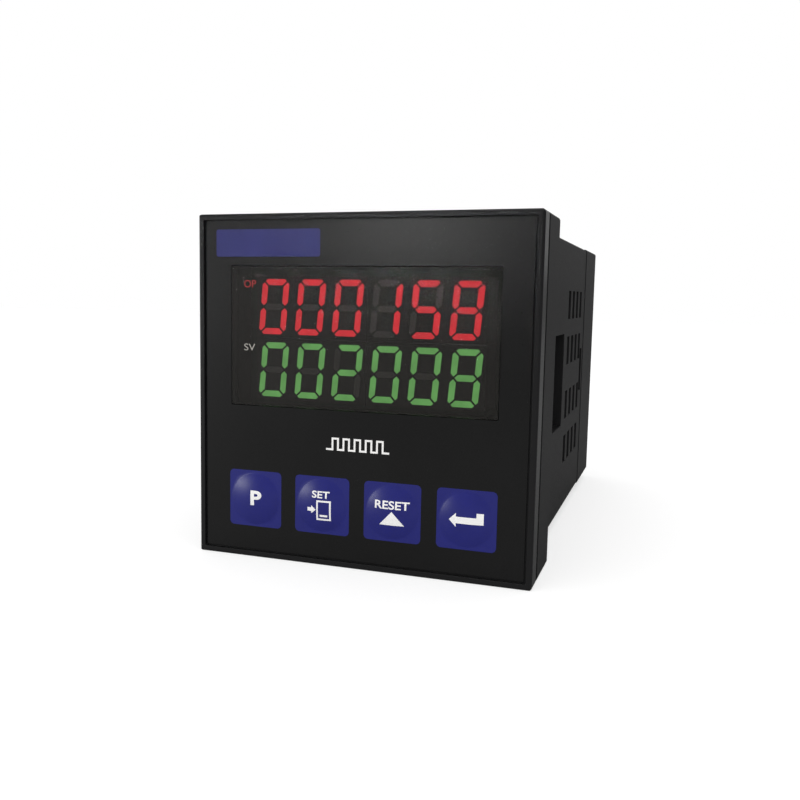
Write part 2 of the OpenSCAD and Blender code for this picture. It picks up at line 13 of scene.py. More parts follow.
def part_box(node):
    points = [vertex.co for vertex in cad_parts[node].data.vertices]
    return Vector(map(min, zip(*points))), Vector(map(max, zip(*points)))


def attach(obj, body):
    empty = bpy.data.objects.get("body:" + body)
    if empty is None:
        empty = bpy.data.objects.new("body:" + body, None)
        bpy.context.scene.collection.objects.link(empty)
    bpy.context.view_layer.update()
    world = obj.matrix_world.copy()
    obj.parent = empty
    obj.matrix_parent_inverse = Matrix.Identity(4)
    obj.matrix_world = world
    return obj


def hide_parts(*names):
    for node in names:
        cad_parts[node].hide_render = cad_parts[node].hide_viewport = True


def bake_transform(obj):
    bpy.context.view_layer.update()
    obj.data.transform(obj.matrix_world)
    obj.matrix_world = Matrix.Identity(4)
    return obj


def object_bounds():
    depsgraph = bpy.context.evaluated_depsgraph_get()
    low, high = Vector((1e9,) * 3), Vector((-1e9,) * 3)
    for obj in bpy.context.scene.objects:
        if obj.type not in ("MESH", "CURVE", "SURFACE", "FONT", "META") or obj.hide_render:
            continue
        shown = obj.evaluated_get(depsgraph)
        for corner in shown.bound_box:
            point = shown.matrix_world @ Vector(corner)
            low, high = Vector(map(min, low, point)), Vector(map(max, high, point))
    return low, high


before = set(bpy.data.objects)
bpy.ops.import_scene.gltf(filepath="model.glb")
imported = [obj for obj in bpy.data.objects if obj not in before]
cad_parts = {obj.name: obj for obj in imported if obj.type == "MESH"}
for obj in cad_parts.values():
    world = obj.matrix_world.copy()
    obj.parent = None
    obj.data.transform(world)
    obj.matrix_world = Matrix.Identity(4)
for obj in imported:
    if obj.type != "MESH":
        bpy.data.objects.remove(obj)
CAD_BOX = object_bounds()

MM = 0.001          # one millimetre, in the scene's metres
PRINT_LIFT = 0.012  # height of printed ink over the face under it, mm
WELD = 0.001        # points of a print that are nearer than this become one, mm
LEGEND_FACET = 0.5  # side of a legend's cells, small enough to follow a dome, mm
CORNER_STEP = 15    # degrees from one facet of a round printed corner to the next
LETTER_STEPS = 6    # facets of each curve of a letter
EDGE_SAMPLES = 6    # rays that look for an edge to round off
UNIT = "unit"       # the body that everything but the keys rides on
WHITE = (1.0, 1.0, 1.0, 1.0)

# Nearly all values of a noise texture lie between these two.
NOISE_LOW, NOISE_HIGH = 0.3, 0.7
# Sockets of a Mix node that blends colours: its factor, both colours and its result.
MIX_FACTOR, MIX_FIRST, MIX_SECOND, MIX_RESULT = 0, 6, 7, 2

Point = tuple[float, float]
Outline = Sequence[Point]
FaceMap = Callable[[float, float], Vector]

log = logging.getLogger("panel_counter")


def linear(hex_colour: str) -> tuple[float, float, float, float]:
    """Turn an sRGB hex colour into linear light.

    Args:
        hex_colour: Colour such as "#1b1b1c".

    Returns:
        Red, green, blue and an alpha of one.
    """
    channels = [int(hex_colour[i:i + 2], 16) / 255 for i in (1, 3, 5)]
    light = [c / 12.92 if c <= 0.04045 else ((c + 0.055) / 1.055) ** 2.4 for c in channels]
    return (light[0], light[1], light[2], 1.0)


def add_node(
    tree: bpy.types.NodeTree,
    kind: str,
    settings: Mapping[str | int, Any] | None = None,
    links: Mapping[str | int, bpy.types.NodeSocket] | None = None,
) -> bpy.types.Node:
    """Add a node with its settings and links.

    Args:
        tree: Node tree that receives the node.
        kind: Blender's name for the type of node.
        settings: Values by property name, or by input name or index.
        links: Output sockets to join, by input name or index.

    Returns:
        The new node.
    """
    node = tree.nodes.new(kind)
    for key, value in (settings or {}).items():
        if isinstance(key, str) and hasattr(node, key):
            setattr(node, key, value)
        else:
            node.inputs[key].default_value = value
    for key, socket in (links or {}).items():
        tree.links.new(socket, node.inputs[key])
    return node


def spread(
    tree: bpy.types.NodeTree, noise: bpy.types.NodeSocket, low: float, high: float,
) -> bpy.types.NodeSocket:
    """Stretch a noise texture over a range of values.

    Args:
        tree: Node tree of the material.
        noise: The noise.
        low: Lower end of the range.
        high: Upper end of the range.

    Returns:
        The stretched value's socket.
    """
    stretched = add_node(
        tree, "ShaderNodeMapRange",
        {"From Min": NOISE_LOW, "From Max": NOISE_HIGH, "To Min": low, "To Max": high},
        {"Value": noise},
    )
    return stretched.outputs["Result"]


def seen_by_eye(tree: bpy.types.NodeTree, rays: bpy.types.Node) -> bpy.types.NodeSocket:
    """Tell what the eye sees, straight or through a clear piece, from what lights or mirrors.

    Args:
        tree: Node tree of the floor or the surround.
        rays: Its Light Path node.

    Returns:
        A socket that is one for the eye and zero otherwise.
    """
    seen = add_node(
        tree, "ShaderNodeMath", {"operation": "MAXIMUM"},
        {0: rays.outputs["Is Camera Ray"], 1: rays.outputs["Is Transmission Ray"]},
    )
    return seen.outputs["Value"]


@dataclass(frozen=True)
class Finish:
    """A surface as it was made: its colour, its gloss and its grain.

    Attributes:
        name: The real material and how its surface was made.
        colour: sRGB hex colour.
        roughness: Mean roughness.
        grain_mm: Width of one grain of the surface.
        relief_mm: Height of the grain.
        mottle: Share by which the colour strays.
        mottle_mm: Width of a patch of strayed colour.
        gloss_spread: Amount by which the roughness strays.
        edge_mm: Radius of the worn or moulded edge that catches light.
        ior: Index of refraction.
        specular: Specular level, 0.5 for the plain index.
        metallic: One for a metal.
    """

    name: str
    colour: str
    roughness: float
    grain_mm: float
    relief_mm: float
    mottle: float = 0.08
    mottle_mm: float = 5.0
    gloss_spread: float = 0.06
    edge_mm: float = 0.0
    ior: float = 1.5
    specular: float = 0.5
    metallic: float = 0.0

    def material(self) -> bpy.types.Material:
        """Give the node material of this finish, made on first use."""
        made = bpy.data.materials.get(self.name)
        if made is None:
            made = bpy.data.materials.new(self.name)
            made.use_nodes = True
            self.dress(made.node_tree, made.node_tree.nodes["Principled BSDF"])
        return made

    def grain(self, tree: bpy.types.NodeTree, where: bpy.types.NodeSocket) -> bpy.types.NodeSocket:
        """Draw the height of the surface from 0 to 1.

        Args:
            tree: Node tree of the material.
            where: Place on the piece, in metres.

        Returns:
            The height's socket.
        """
        noise = add_node(
            tree, "ShaderNodeTexNoise",
            {"Scale": 1 / (self.grain_mm * MM), "Detail": 3.0, "Roughness": 0.6}, {"Vector": where},
        )
        return noise.outputs["Fac"]

    def dress(self, tree: bpy.types.NodeTree, shader: bpy.types.Node) -> None:
        """Join grain, mottle and edges to the shader.

        Args:
            tree: Node tree of the material.
            shader: Its Principled BSDF node.
        """
        shader.inputs["IOR"].default_value = self.ior
        shader.inputs["Specular IOR Level"].default_value = self.specular
        shader.inputs["Metallic"].default_value = self.metallic
        where = add_node(tree, "ShaderNodeTexCoord").outputs["Object"]
        height = self.grain(tree, where)
        patches = add_node(
            tree, "ShaderNodeTexNoise",
            {"Scale": 1 / (self.mottle_mm * MM), "Detail": 4.0}, {"Vector": where},
        )
        tone = spread(tree, patches.outputs["Fac"], 1 - self.mottle, 1 + self.mottle)
        pigment = add_node(
            tree, "ShaderNodeHueSaturation", {"Color": linear(self.colour)}, {"Value": tone},
        )
        gloss = spread(
            tree, height, self.roughness - self.gloss_spread, self.roughness + self.gloss_spread,
        )
        bump = add_node(
            tree, "ShaderNodeBump", {"Strength": 1.0, "Distance": self.relief_mm * MM},
            {"Height": height},
        )
        if self.edge_mm:
            edge = add_node(
                tree, "ShaderNodeBevel", {"samples": EDGE_SAMPLES, "Radius": self.edge_mm * MM},
            )
            tree.links.new(edge.outputs["Normal"], bump.inputs["Normal"])
        tree.links.new(pigment.outputs["Color"], shader.inputs["Base Color"])
        tree.links.new(gloss, shader.inputs["Roughness"])
        tree.links.new(bump.outputs["Normal"], shader.inputs["Normal"])


@dataclass(frozen=True)
class LitResin(Finish):
    """Milky resin over a light-emitting chip: it glows in its own colour.

    Attributes:
        glow: sRGB hex colour of the light.
        strength: Brightness of the light.
        patch_mm: Width of a brighter or dimmer patch.
        dimmest: Share of the brightness in the dimmest patch.
        brightest: Share of the brightness in the brightest patch.
    """

    glow: str = "#ffffff"
    strength: float = 1.0
    patch_mm: float = 1.6
    dimmest: float = 0.88
    brightest: float = 1.1

    def dress(self, tree: bpy.types.NodeTree, shader: bpy.types.Node) -> None:
        """Add the light, a little uneven along each segment.

        Args:
            tree: Node tree of the material.
            shader: Its Principled BSDF node.
        """
        super().dress(tree, shader)
        shader.inputs["Emission Color"].default_value = linear(self.glow)
        where = add_node(tree, "ShaderNodeTexCoord").outputs["Object"]
        patches = add_node(
            tree, "ShaderNodeTexNoise",
            {"Scale": 1 / (self.patch_mm * MM), "Detail": 1.0}, {"Vector": where},
        )
        low, high = self.dimmest * self.strength, self.brightest * self.strength
        level = spread(tree, patches.outputs["Fac"], low, high)
        tree.links.new(level, shader.inputs["Emission Strength"])


@dataclass(frozen=True)
class SmokedAcrylic(Finish):
    """Tinted clear sheet: light passes, dimmed.

    Attributes:
        opacity: Share of the light that one face holds back.
    """

    opacity: float = 0.3

    def dress(self, tree: bpy.types.NodeTree, shader: bpy.types.Node) -> None:
        """Let part of the light through.

        Args:
            tree: Node tree of the material.
            shader: Its Principled BSDF node.
        """
        super().dress(tree, shader)
        shader.inputs["Alpha"].default_value = self.opacity


@dataclass(frozen=True)
class BrushedMetal(Finish):
    """Metal with the fine lines of a cutter, drawn along one axis.

    Attributes:
        line_mm: Length of a line.
    """

    line_mm: float = 4.0

    def grain(self, tree: bpy.types.NodeTree, where: bpy.types.NodeSocket) -> bpy.types.NodeSocket:
        """Draw the lines as noise stretched along Z.

        Args:
            tree: Node tree of the material.
            where: Place on the piece, in metres.

        Returns:
            The height's socket.
        """
        across, along = 1 / (self.grain_mm * MM), 1 / (self.line_mm * MM)
        stretched = add_node(
            tree, "ShaderNodeMapping", {"Scale": (across, across, along)}, {"Vector": where},
        )
        noise = add_node(
            tree, "ShaderNodeTexNoise", {"Scale": 1.0, "Detail": 3.0},
            {"Vector": stretched.outputs["Vector"]},
        )
        return noise.outputs["Fac"]


@dataclass(frozen=True)
class SolderMask(Finish):
    """Glass fibre board under green lacquer, with raised copper tracks.

    Attributes:
        track_mm: Spacing of the tracks.
    """

    track_mm: float = 1.27

    def grain(self, tree: bpy.types.NodeTree, where: bpy.types.NodeSocket) -> bpy.types.NodeSocket:
        """Draw the tracks as bands that jog.

        Args:
            tree: Node tree of the material.
            where: Place on the piece, in metres.

        Returns:
            The height's socket.
        """
        # A wave texture of scale s repeats every pi / (10 s).
        scale = math.pi / (10 * self.track_mm * MM)
        tracks = add_node(
            tree, "ShaderNodeTexWave",
            {"bands_direction": "Z", "Scale": scale, "Distortion": 3.0, "Detail": 1.0,
             "Detail Scale": 0.4},
            {"Vector": where},
        )
        return tracks.outputs["Fac"]


# Spark-eroded mould: an even, fine matt grain that greys a little where the light grazes it.
# The real grain is about 0.05 mm; it is drawn at 0.22 mm, so that it shows.
SPARK_ABS = Finish(
    "abs_moulded_spark_textured", "#1d1d1e", roughness=0.56, grain_mm=0.22, relief_mm=0.006,
    mottle=0.07, gloss_spread=0.05, edge_mm=0.16, ior=1.52, specular=0.3,
)
# Frame moulding of the same plastic from a smoother mould, a little glossier.
SATIN_ABS = Finish(
    "abs_moulded_satin", "#1a1a1b", roughness=0.34, grain_mm=0.3, relief_mm=0.003,
    mottle=0.06, gloss_spread=0.05, edge_mm=0.12, ior=1.52, specular=0.3,
)
# Velvet polyester film printed black from behind: soft, wide highlights over a dead black.
BLACK_FILM = Finish(
    "polyester_film_velvet_black", "#161616", roughness=0.285, grain_mm=0.26, relief_mm=0.0004,
    mottle=0.08, mottle_mm=9.0, gloss_spread=0.012, ior=1.57, specular=0.25,
)
# The same film printed blue; the embossed domes catch the light at one rim.
BLUE_FILM = Finish(
    "polyester_film_embossed_blue", "#1b1f74", roughness=0.3, grain_mm=0.3, relief_mm=0.0004,
    mottle=0.05, mottle_mm=3.0, gloss_spread=0.012, ior=1.57, specular=0.45,
)
# Screen-printed ink seen through the film: a flat, opaque white with a faint screen weave.
WHITE_INK = Finish(
    "ink_screen_printed_white", "#fbfaf8", roughness=0.5, grain_mm=0.2, relief_mm=0.001,
    mottle=0.03, mottle_mm=1.5, gloss_spread=0.03, specular=0.3,
)
# The same print in a muted blue, for the bare plate at the top left.
BLUE_INK = Finish(
    "ink_screen_printed_blue", "#25296a", roughness=0.31, grain_mm=0.2, relief_mm=0.001,
    mottle=0.05, mottle_mm=3.0, gloss_spread=0.03, specular=0.35,
)
# Thin red print on the window, dimmer than the lit digits.
RED_INK = Finish(
    "ink_screen_printed_red", "#a03030", roughness=0.5, grain_mm=0.2, relief_mm=0.001,
    mottle=0.05, mottle_mm=1.0, gloss_spread=0.03, specular=0.3,
)
# Thin grey print, legible on black without drawing the eye.
GREY_INK = Finish(
    "ink_screen_printed_grey", "#a9a7a0", roughness=0.5, grain_mm=0.2, relief_mm=0.001,
    mottle=0.05, mottle_mm=1.0, gloss_spread=0.03, specular=0.3,
)
# Smoked acrylic with a velvet front: it dims what is behind and hides the unlit segments.
SMOKED_SHEET = SmokedAcrylic(
    "acrylic_smoked_velvet", "#2b2926", roughness=0.3, grain_mm=0.3, relief_mm=0.0004,
    mottle=0.05, mottle_mm=8.0, gloss_spread=0.012, ior=1.49, specular=0.6, opacity=0.45,
)
# Moulded display block with a dark face print: dull, so that only the segments show.
DISPLAY_FACE = Finish(
    "epoxy_block_face_printed", "#2b2a27", roughness=0.6, grain_mm=0.3, relief_mm=0.0008,
    mottle=0.06, mottle_mm=3.0, gloss_spread=0.03, specular=0.25,
)
# Milky resin, lit red: a strong, nearly even colour, a little brighter in patches.
RED_SEGMENT = LitResin(
    "resin_cast_lit_red", "#a01822", roughness=0.45, grain_mm=0.3, relief_mm=0.002,
    glow="#ff3440", strength=1.6,
)
# The same resin, lit green and a little dimmer.
GREEN_SEGMENT = LitResin(
    "resin_cast_lit_green", "#2f5a2a", roughness=0.45, grain_mm=0.3, relief_mm=0.002,
    glow="#8ce07a", strength=1.15,
)
# Milky resin, unlit: a shade lighter than the face round it.
DARK_SEGMENT = Finish(
    "resin_cast_unlit", "#66645e", roughness=0.45, grain_mm=0.3, relief_mm=0.002, mottle=0.05,
)
# Foamed rubber cut from sheet: dull, with open pores.
GASKET_RUBBER = Finish(
    "rubber_foamed_cut", "#161616", roughness=0.85, grain_mm=0.25, relief_mm=0.03, mottle=0.15,
    mottle_mm=1.0, specular=0.3,
)
# Glass-filled polyamide of the terminal strips: black, dull, slightly streaked.
FILLED_NYLON = Finish(
    "polyamide_moulded_glass_filled", "#202120", roughness=0.5, grain_mm=0.25, relief_mm=0.008,
    mottle=0.12, mottle_mm=2.0, edge_mm=0.12, ior=1.53, specular=0.4,
)
# Small mouldings of the key switches: black, even, with soft edges.
SWITCH_PLASTIC = Finish(
    "polyamide_moulded_black", "#232324", roughness=0.5, grain_mm=0.2, relief_mm=0.005,
    edge_mm=0.08,
)
# Chip bodies: black and dry, rougher than the plastics.
CHIP_EPOXY = Finish(
    "epoxy_moulded_black", "#18181a", roughness=0.6, grain_mm=0.15, relief_mm=0.006, edge_mm=0.08,
)
# Optocoupler bodies: off-white and dry.
WHITE_EPOXY = Finish(
    "epoxy_moulded_offwhite", "#d8d2c0", roughness=0.55, grain_mm=0.15, relief_mm=0.005,
    edge_mm=0.08,
)
# Relay covers: dark blue with a soft sheen.
RELAY_PLASTIC = Finish(
    "polyester_moulded_dark_blue", "#28344a", roughness=0.45, grain_mm=0.2, relief_mm=0.005,
    edge_mm=0.12,
)
# Dipped disc: bright blue, glossy and a little lumpy.
VARISTOR_COAT = Finish(
    "epoxy_dipped_blue", "#2f5f9c", roughness=0.3, grain_mm=0.8, relief_mm=0.02, mottle=0.1,
    mottle_mm=2.0,
)
# Shrunk sleeve: dark, smooth, with long highlights.
CAPACITOR_SLEEVE = Finish(
    "sleeve_heat_shrunk_dark", "#26303c", roughness=0.32, grain_mm=0.6, relief_mm=0.004,
    mottle=0.06,
)
# Wound tape: yellow, glossy, with slight ridges.
COIL_TAPE = Finish(
    "tape_polyester_yellow", "#c8a648", roughness=0.35, grain_mm=1.2, relief_mm=0.02, mottle=0.08,
    mottle_mm=2.0,
)
# Ground ferrite: dark grey and stony.
FERRITE = Finish(
    "ferrite_ground", "#3b3b3d", roughness=0.6, grain_mm=0.2, relief_mm=0.006, mottle=0.12,
    mottle_mm=1.5, edge_mm=0.15,
)
# Matt green lacquer over copper tracks: dark and dull, so that nothing glints behind the window.
BOARD_LACQUER = SolderMask(
    "board_solder_masked_green", "#16392a", roughness=0.62, grain_mm=0.3, relief_mm=0.01,
    mottle=0.1, gloss_spread=0.03, specular=0.15,
)
# Zinc plate on steel: pale, bluish, with the lines of the turning tool.
ZINC_STEEL = BrushedMetal(
    "steel_zinc_plated_turned", "#bfc0be", roughness=0.36, grain_mm=0.12, relief_mm=0.004,
    mottle=0.06, mottle_mm=1.0, edge_mm=0.08, metallic=1.0, line_mm=3.0,
)
# Milled brass: warm yellow with fine straight lines.
MILLED_BRASS = BrushedMetal(
    "brass_milled", "#c9a455", roughness=0.34, grain_mm=0.15, relief_mm=0.005, mottle=0.08,
    mottle_mm=1.5, edge_mm=0.08, metallic=1.0, line_mm=4.0,
)
# Drawn nickel-plated can: bright grey, smoother than the zinc.
NICKEL_CAN = BrushedMetal(
    "steel_nickel_plated_drawn", "#b9bbbf", roughness=0.3, grain_mm=0.15, relief_mm=0.003,
    mottle=0.06, mottle_mm=2.0, edge_mm=0.1, metallic=1.0, line_mm=5.0,
)


def dress_nodes(finish: Finish, *nodes: str) -> None:
    """Give CAD nodes a finish.

    Args:
        finish: The finish.
        nodes: Names of the nodes.
    """
    for name in nodes:
        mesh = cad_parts[name].data
        mesh.materials.clear()
        mesh.materials.append(finish.material())
        log.info("dressed %s in %s", name, finish.name)


@dataclass(frozen=True)
class Word:
    """Generic lettering fitted into a box, in millimetres.

    Attributes:
        text: The letters.
        left: Left edge of the box.
        bottom: Lower edge of the box.
        width: Width of the box.
        height: Height of the box.
        weight: Thickening of the strokes, as a share of the letter size.
    """

    text: str
    left: float
    bottom: float
    width: float
    height: float
    weight: float = 0.02

    def add_to(self, shape: bmesh.types.BMesh) -> None:
        """Fill the letters into a flat shape.

        Args:
            shape: Shape in the XY plane, in millimetres.
        """
        curve = bpy.data.curves.new(self.text, "FONT")
        curve.body, curve.offset, curve.resolution_u = self.text, self.weight, LETTER_STEPS
        holder = bpy.data.objects.new(self.text, curve)
        letters = bpy.data.meshes.new_from_object(holder)
        low = Vector(map(min, *(v.co for v in letters.vertices)))
        high = Vector(map(max, *(v.co for v in letters.vertices)))
        scale = (self.width / (high.x - low.x), self.height / (high.y - low.y), 1.0)
        letters.transform(
            Matrix.Translation((self.left, self.bottom, 0)) @ Matrix.Diagonal((*scale, 1.0))
            @ Matrix.Translation((-low.x, -low.y, 0))
        )
        shape.from_mesh(letters)
        bpy.data.objects.remove(holder)
        bpy.data.curves.remove(curve)
        bpy.data.meshes.remove(letters)


@dataclass(frozen=True)
class Print:
    """A printed mark on a face, in millimetres.

    Attributes:
        outlines: Closed outlines, each counter-clockwise as the face is seen.
        words: Generic lettering.
        facet: Side of the cells that the mark is cut into, so that it follows a curved face.
    """

    outlines: tuple[Outline, ...] = ()
    words: tuple[Word, ...] = ()
    facet: float = 6.0

    def piece(self, name: str, finish: Finish, to_face: FaceMap) -> bpy.types.Object:
        """Fill the mark and lay it on its face.

        Args:
            name: Name of the piece.
            finish: Its ink.
            to_face: Gives the place in the scene of a point of the mark.

        Returns:
            The new piece.
        """
        shape = bmesh.new()
        for word in self.words:
            word.add_to(shape)
        for outline in self.outlines:
            shape.faces.new([shape.verts.new((x, y, 0)) for x, y in outline])
        for axis in (Vector((1, 0, 0)), Vector((0, 1, 0))):
            reach = [axis.dot(v.co) / self.facet for v in shape.verts]
            for cut in range(math.ceil(min(reach)), math.ceil(max(reach))):
                bmesh.ops.bisect_plane(
                    shape, geom=shape.verts[:] + shape.edges[:] + shape.faces[:],
                    plane_co=axis * cut * self.facet, plane_no=axis, dist=WELD,
                )
        bmesh.ops.dissolve_degenerate(shape, dist=WELD, edges=shape.edges[:])
        bmesh.ops.triangulate(shape, faces=shape.faces[:])
        for vert in shape.verts:
            vert.co = to_face(vert.co.x, vert.co.y)
        return mesh_piece(name, shape, finish)


def mesh_piece(name: str, shape: bmesh.types.BMesh, finish: Finish) -> bpy.types.Object:
    """Turn a shape into a named piece of the scene.

    Args:
        name: Name of the piece.
        shape: Its shape, which is freed.
        finish: Its finish.

    Returns:
        The new piece.
    """
    mesh = bpy.data.meshes.new(name)
    shape.normal_update()
    shape.to_mesh(mesh)
    shape.free()
    mesh.shade_smooth()
    mesh.materials.append(finish.material())
    piece = bpy.data.objects.new(name, mesh)
    bpy.context.scene.collection.objects.link(piece)
    log.info("built %s in %s", name, finish.name)
    return piece


def bar(left: float, bottom: float, right: float, top: float) -> Outline:
    """Give the outline of an upright rectangle."""
    return ((left, bottom), (right, bottom), (right, top), (left, top))


def rounded_bar(left: float, bottom: float, right: float, top: float, radius: float) -> Outline:
    """Give the outline of a rectangle with round corners.

    Args:
        left: Left edge.
        bottom: Lower edge.
        right: Right edge.
        top: Upper edge.
        radius: Radius of the corners.

    Returns:
        The outline, counter-clockwise.
    """
    corners = ((right - radius, bottom + radius, -90), (right - radius, top - radius, 0),
               (left + radius, top - radius, 90), (left + radius, bottom + radius, 180))
    rounds = [(x, y, math.radians(start + turn)) for x, y, start in corners
              for turn in range(0, 90 + CORNER_STEP, CORNER_STEP)]
    return tuple((x + radius * math.cos(t), y + radius * math.sin(t)) for x, y, t in rounds)


class KeyMark(Enum):
    """The four keys, by the name of their CAD nodes."""

    PROGRAM = "program"
    SET = "set"
    RESET = "reset"
    ENTER = "enter"


# Legend of each key, in millimetres from the key's centre.
LEGENDS: Mapping[KeyMark, Print] = {
    KeyMark.PROGRAM: Print(
        words=(Word("P", -0.54, -0.88, 1.68, 2.1, weight=0.035),),
        facet=LEGEND_FACET,
    ),
    KeyMark.SET: Print(
        words=(Word("SET", -1.32, 1.06, 2.6, 0.98),),
        outlines=(
            bar(-0.62, -2.02, -0.38, 0.76), bar(1.26, -2.02, 1.5, 0.76),
            bar(-0.38, 0.52, 1.26, 0.76), bar(-0.38, -2.02, 1.26, -1.78),
            bar(-0.12, -1.52, 1.0, -1.24),
            ((-1.97, -0.84), (-1.4, -0.84), (-1.4, -1.14), (-0.7, -0.58), (-1.4, -0.02),
             (-1.4, -0.32), (-1.97, -0.32)),
        ),
        facet=LEGEND_FACET,
    ),
    KeyMark.RESET: Print(
        words=(Word("RESET", -2.33, 0.49, 4.85, 1.13),),
        outlines=(((-1.66, -1.69), (1.84, -1.69), (0.1, 0.18)),),
        facet=LEGEND_FACET,
    ),
    KeyMark.ENTER: Print(
        outlines=(
            ((-2.24, 0.0), (-1.3, -0.92), (-1.3, -0.44), (2.35, -0.44), (2.35, 1.05), (1.42, 1.05),
             (1.42, 0.44), (-1.3, 0.44), (-1.3, 0.92)),
        ),
        facet=LEGEND_FACET,
    ),
}


@dataclass
class MembraneKey:
    """One key of the front film: a printed square, its embossed dome and its legend.

    Attributes:
        mark: Which key it is.
        side: Side of the printed square.
        corner: Radius of the square's corners.
        spokes: Facets round the dome.
        dome_rings: Facets from the dome's crown to its rim.
        skirt_rings: Facets from the rim to the edge of the square.
        centre: Centre of the dome on the front, from the CAD.
        radius: Radius of the dome, from the CAD.
        rise: Height of the crown over the film, from the CAD.
        film: Level of the printed film along Y, from the CAD.
    """

    mark: KeyMark
    side: float = 8.0
    corner: float = 0.6
    spokes: int = 96
    dome_rings: int = 22
    skirt_rings: int = 3
    centre: Vector = field(init=False)
    radius: float = field(init=False)
    rise: float = field(init=False)
    film: float = field(init=False)

    def __post_init__(self) -> None:
        """Take the dome's place and size from the CAD."""
        low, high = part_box(f"{self.mark.value}_key")
        self.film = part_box("front_overlay")[0].y / MM - PRINT_LIFT
        self.centre = Vector(((low.x + high.x) / 2, 0, (low.z + high.z) / 2)) / MM
        self.radius = (high.x - low.x) / 2 / MM
        self.rise = self.film - low.y / MM - PRINT_LIFT

    def height(self, x: float, z: float) -> float:
        """Give the dome's height over the film at an offset from its centre, in millimetres."""
        off = min(math.hypot(x, z), self.radius)
        ball = (self.radius ** 2 + self.rise ** 2) / (2 * self.rise)
        return math.sqrt(ball ** 2 - off ** 2) - (ball - self.rise)

    def on_film(self, x: float, z: float, lift: float = 0.0) -> Vector:
        """Give the place in the scene of an offset from the key's centre.

        Args:
            x: Offset to the right, in millimetres.
            z: Offset upwards, in millimetres.
            lift: Height over the film, in millimetres.

        Returns:
            The place, in metres.
        """
        level = self.film - self.height(x, z) - lift
        return Vector((self.centre.x + x, level, self.centre.z + z)) * MM

    def edge(self, turn: float) -> float:
        """Give the distance from the centre to the edge of the rounded square, in one direction."""
        across, up = abs(math.cos(turn)), abs(math.sin(turn))
        half = self.side / 2
        flat = half / max(across, up)
        inner = half - self.corner
        if min(across, up) * flat <= inner:
            return flat
        reach = inner * (across + up)
        return reach + math.sqrt(reach ** 2 - 2 * inner ** 2 + self.corner ** 2)

    def film_piece(self) -> bpy.types.Object:
        """Build the printed square with its dome as one sheet."""
        shape = bmesh.new()
        turns = [2 * math.pi * i / self.spokes for i in range(self.spokes)]
        shares = [(i / self.dome_rings, 0.0) for i in range(1, self.dome_rings + 1)]
        shares += [(1.0, i / self.skirt_rings) for i in range(1, self.skirt_rings + 1)]
        crown = shape.verts.new(self.on_film(0, 0))
        rings = []
        for dome, skirt in shares:
            reach = [self.radius * dome + (self.edge(t) - self.radius) * skirt for t in turns]
            rings.append([shape.verts.new(self.on_film(r * math.cos(t), r * math.sin(t)))
                          for r, t in zip(reach, turns)])
        for i in range(self.spokes):
            after = (i + 1) % self.spokes
            shape.faces.new((crown, rings[0][i], rings[0][after]))
            for inner, outer in zip(rings, rings[1:]):
                shape.faces.new((inner[i], outer[i], outer[after], inner[after]))
        piece = mesh_piece(f"{self.mark.value}_key_film", shape, BLUE_FILM)
        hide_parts(f"{self.mark.value}_key")
        return piece

    def build(self) -> None:
        """Build the film and the legend, and bake their places into their meshes."""
        legend = LEGENDS[self.mark].piece(
            f"{self.mark.value}_key_legend", WHITE_INK, lambda x, z: self.on_film(x, z, PRINT_LIFT),
        )
        for piece, lift in ((self.film_piece(), 0.0), (legend, PRINT_LIFT)):
            crown = self.on_film(0, 0, lift)
            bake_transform(piece)


@dataclass
class FrontFilm:
    """The printed film in the bed of the frame, with its plate, its pulse sign and its keys.

    Attributes:
        plate: Left, lower, right and upper edge of the bare blue plate.
        plate_corner: Radius of its corners.
        pulse_left: Left end of the pulse sign.
        pulse_low: Its lower line.
        pulse_high: Its upper line.
        pulse_step: Width of half a pulse.
        pulse_count: Number of pulses.
        pulse_line: Width of its line.
    """

    plate: tuple[float, float, float, float] = (-21.3, 18.2, -5.7, 21.9)
    plate_corner: float = 0.3
    pulse_left: float = -4.4
    pulse_low: float = -7.7
    pulse_high: float = -6.2
    pulse_step: float = 0.8
    pulse_count: int = 5
    pulse_line: float = 0.26

    def on_face(self, x: float, z: float) -> Vector:
        """Give the place in the scene of a point of the film's print."""
        return Vector((x * MM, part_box("front_overlay")[0].y - PRINT_LIFT * MM, z * MM))

    def pulse_sign(self) -> Print:
        """Draw a row of square pulses as one stepped line."""
        bars = []
        half = self.pulse_line / 2
        for i in range(2 * self.pulse_count + 1):
            left = self.pulse_left + i * self.pulse_step
            level = self.pulse_high if i % 2 else self.pulse_low
            right = left + self.pulse_step
            bars.append(bar(left - half, level - half, right + half, level + half))
            if i:
                low, high = self.pulse_low + half, self.pulse_high - half
                bars.append(bar(left - half, low, left + half, high))
        return Print(outlines=tuple(bars))

    def build(self) -> None:
        """Dress the film and print it, then build the keys."""
        dress_nodes(BLACK_FILM, "front_overlay")
        plate = Print(outlines=(rounded_bar(*self.plate, self.plate_corner),))
        marks = (
            ("front_plate_print", plate, BLUE_INK),
            ("pulse_sign_print", self.pulse_sign(), WHITE_INK),
        )
        for name, mark, ink in marks:
            piece = mark.piece(name, ink, self.on_face)
            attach(piece, UNIT)
        for mark in KeyMark:
            MembraneKey(mark).build()


